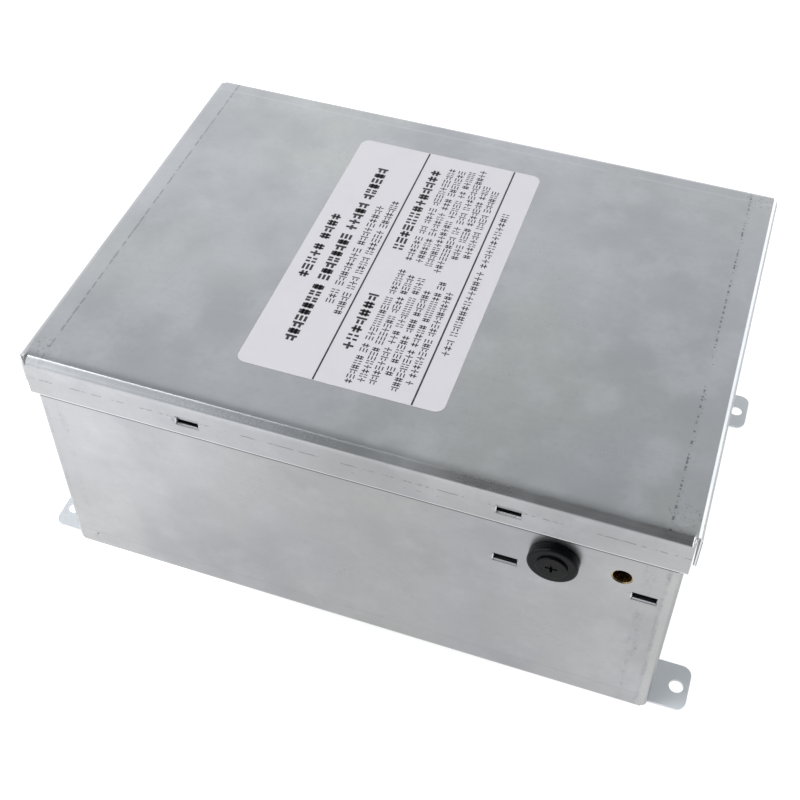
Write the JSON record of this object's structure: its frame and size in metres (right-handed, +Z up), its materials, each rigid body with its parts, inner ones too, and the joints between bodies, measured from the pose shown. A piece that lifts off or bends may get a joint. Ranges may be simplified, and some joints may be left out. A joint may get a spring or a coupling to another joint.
{
  "type": "automatic transfer relay switch",
  "caption": "Steel-cased transfer relay that switches a load between shore and generator supplies, with a lift-off cover, fuse, mounting ears and cable clamps.",
  "frame": {"origin": "centre of the four mounting holes, on the underside of the back plate", "axes": "+X right along the long side, +Y to the rear wall with the cable clamps, +Z up out of the cover"},
  "size_m": [0.305, 0.2305, 0.1282],
  "materials": {
    "galvanised_steel": "galvanised sheet, cloudy, satin",
    "label_vinyl": "satin vinyl",
    "black_plastic": "moulded, semi-gloss",
    "yellow_brass": "machined",
    "tinned_brass": "tin plated",
    "fuse_glass": "clear",
    "diecast_zinc": "die-cast, dull grey",
    "plated_screws": "zinc plated",
    "spring_steel": "drawn wire",
    "dark_moulding": "glass-filled moulding",
    "carrier_moulding": "moulded, dull",
    "iron_laminations": "stacked laminations",
    "bobbin_nylon": "natural nylon",
    "coil_tape": "wound and taped",
    "copper": "bare copper",
    "terminal_alloy": "tin-plated alloy",
    "green_screws": "green dyed zinc plate",
    "board_laminate": "solder-masked laminate",
    "relay_case": "moulded, glossy",
    "capacitor_sleeve": "shrink sleeve",
    "strip_moulding": "moulded",
    "wire_insulation": "extruded, satin"
  },
  "bodies": {
    "enclosure": {"case_tray": "galvanised_steel", "side_panel_left": "galvanised_steel", "side_panel_right": "galvanised_steel", "control_shelf": "galvanised_steel", "interlock_bracket": "galvanised_steel", "fuse_holder_body": "black_plastic", "fuse_holder_nut": "black_plastic", "brass_bush": "yellow_brass", "fuse_holder_tags": "tinned_brass", "coil_blades": "tinned_brass", "fixed_contacts": "tinned_brass", "cable_clamp_bodies": "diecast_zinc", "cable_clamp_locknuts": "diecast_zinc", "terminal_screws": "plated_screws", "mounting_screws": "plated_screws", "lug_screws": "plated_screws", "board_screws": "plated_screws", "interlock_pin": "plated_screws", "board_standoffs": "plated_screws", "shore_return_springs": "spring_steel", "generator_return_springs": "spring_steel", "shore_contactor_housing": "dark_moulding", "generator_contactor_housing": "dark_moulding", "load_terminal_block": "dark_moulding", "magnet_cores": "iron_laminations", "transformer_core": "iron_laminations", "coil_bobbins": "bobbin_nylon", "neutral_insulators": "bobbin_nylon", "coil_windings": "coil_tape", "transformer_coil": "coil_tape", "load_bar_lower": "copper", "load_bar_upper": "copper", "neutral_bar": "terminal_alloy", "ground_bar": "terminal_alloy", "ground_screws": "green_screws", "control_board": "board_laminate", "board_relays": "relay_case", "board_capacitors": "capacitor_sleeve", "board_terminal_strip": "strip_moulding", "control_wires": "wire_insulation"},
    "cover": {"cover": "galvanised_steel", "rating_label": "label_vinyl"},
    "fuse_carrier": {"fuse_glass": "fuse_glass", "fuse_end_caps": "tinned_brass"},
    "fuse_cap": {"fuse_cap": "black_plastic"},
    "shore_contact_set": {"shore_contact_carrier": "carrier_moulding", "shore_armature": "iron_laminations", "shore_moving_contacts": "copper", "shore_contact_springs": "spring_steel"},
    "generator_contact_set": {"generator_contact_carrier": "carrier_moulding", "generator_armature": "iron_laminations", "generator_moving_contacts": "copper", "generator_contact_springs": "spring_steel"},
    "interlock_rocker": {"interlock_rocker": "carrier_moulding"},
    "shore_saddle": {"shore_clamp_saddle": "diecast_zinc", "shore_clamp_screws": "plated_screws"},
    "generator_saddle": {"generator_clamp_saddle": "diecast_zinc", "generator_clamp_screws": "plated_screws"},
    "load_saddle": {"load_clamp_saddle": "diecast_zinc", "load_clamp_screws": "plated_screws"}
  },
  "joints": [
    {"name": "cover_lift", "type": "slide", "parent": "enclosure", "child": "cover", "axis": [0, 0, 1], "range_m": [0, 0.15]},
    {"name": "fuse_pull", "type": "slide", "parent": "enclosure", "child": "fuse_carrier", "axis": [0, -1, 0], "range_m": [0, 0.045]},
    {"name": "fuse_cap_turn", "type": "hinge", "parent": "fuse_carrier", "child": "fuse_cap", "pos_m": [0.08775, -0.0982, 0.0925], "axis": [0, -1, 0], "range_deg": [0, 90]},
    {"name": "shore_contacts", "type": "slide", "parent": "enclosure", "child": "shore_contact_set", "axis": [0, 0, 1], "range_m": [0, 0.004], "deforming": ["shore_return_springs"]},
    {"name": "generator_contacts", "type": "slide", "parent": "enclosure", "child": "generator_contact_set", "axis": [0, 0, -1], "range_m": [0, 0.004], "stiffness_N_per_m": 375, "springref_m": -0.004, "deforming": ["generator_return_springs"]},
    {"name": "interlock_turn", "type": "hinge", "parent": "enclosure", "child": "interlock_rocker", "pos_m": [-0.048, 0.0028, 0.048], "axis": [0, 1, 0], "range_deg": [0, 19.19]},
    {"name": "shore_saddle_slide", "type": "slide", "parent": "enclosure", "child": "shore_saddle", "axis": [0, 0, -1], "range_m": [0, 0.008]},
    {"name": "generator_saddle_slide", "type": "slide", "parent": "enclosure", "child": "generator_saddle", "axis": [0, 0, -1], "range_m": [0, 0.008]},
    {"name": "load_saddle_slide", "type": "slide", "parent": "enclosure", "child": "load_saddle", "axis": [0, 0, -1], "range_m": [0, 0.008]}
  ],
  "couplings": [
    {"joint": "generator_contacts", "follows": "shore_contacts", "ratio": 1},
    {"joint": "interlock_turn", "follows": "shore_contacts", "rad_per_m": 83.72}
  ]
}
